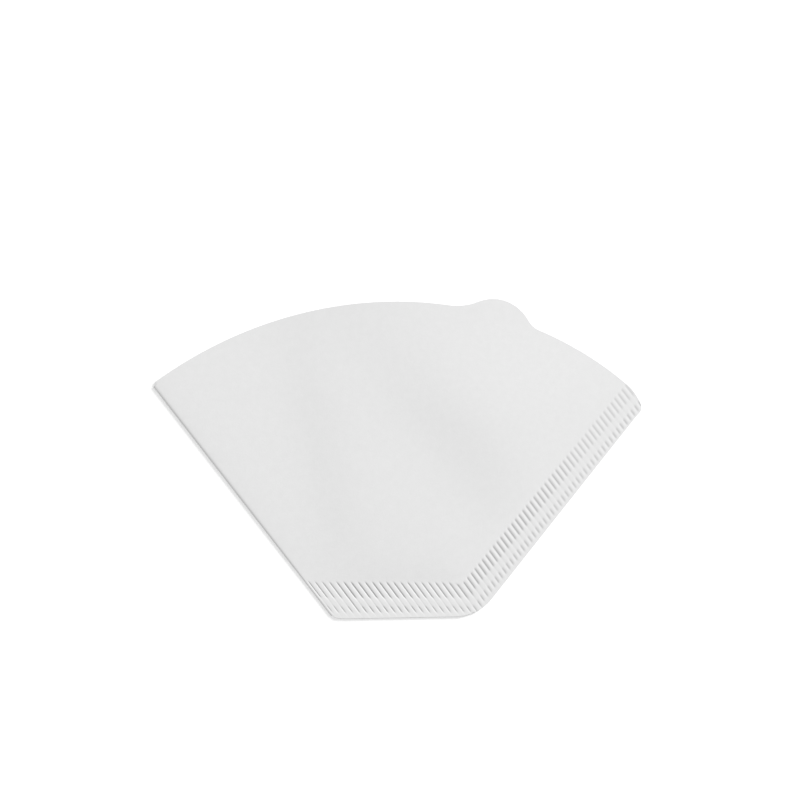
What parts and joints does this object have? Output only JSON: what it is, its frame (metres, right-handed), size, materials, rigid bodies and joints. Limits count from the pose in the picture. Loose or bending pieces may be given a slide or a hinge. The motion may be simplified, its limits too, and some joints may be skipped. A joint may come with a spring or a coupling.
{
  "type": "paper coffee filter",
  "caption": "Flat-folded paper cone coffee filter: a fan-shaped pocket, folded down its left side and crimped along its right side and its bottom, with an open arched mouth and a thumb tab.",
  "frame": {"origin": "on the back wall's flat outer face, on the fan's centre line, 92 mm above the point where its sides would meet", "axes": "+X across the fan towards the crimped side, +Y up the centre line towards the open mouth, +Z out of the sheet through the front wall"},
  "size_m": [0.1845, 0.1175, 0.0019],
  "materials": {
    "paper": "matte"
  },
  "bodies": {
    "root": {"filter_paper": "paper"}
  },
  "joints": []
}
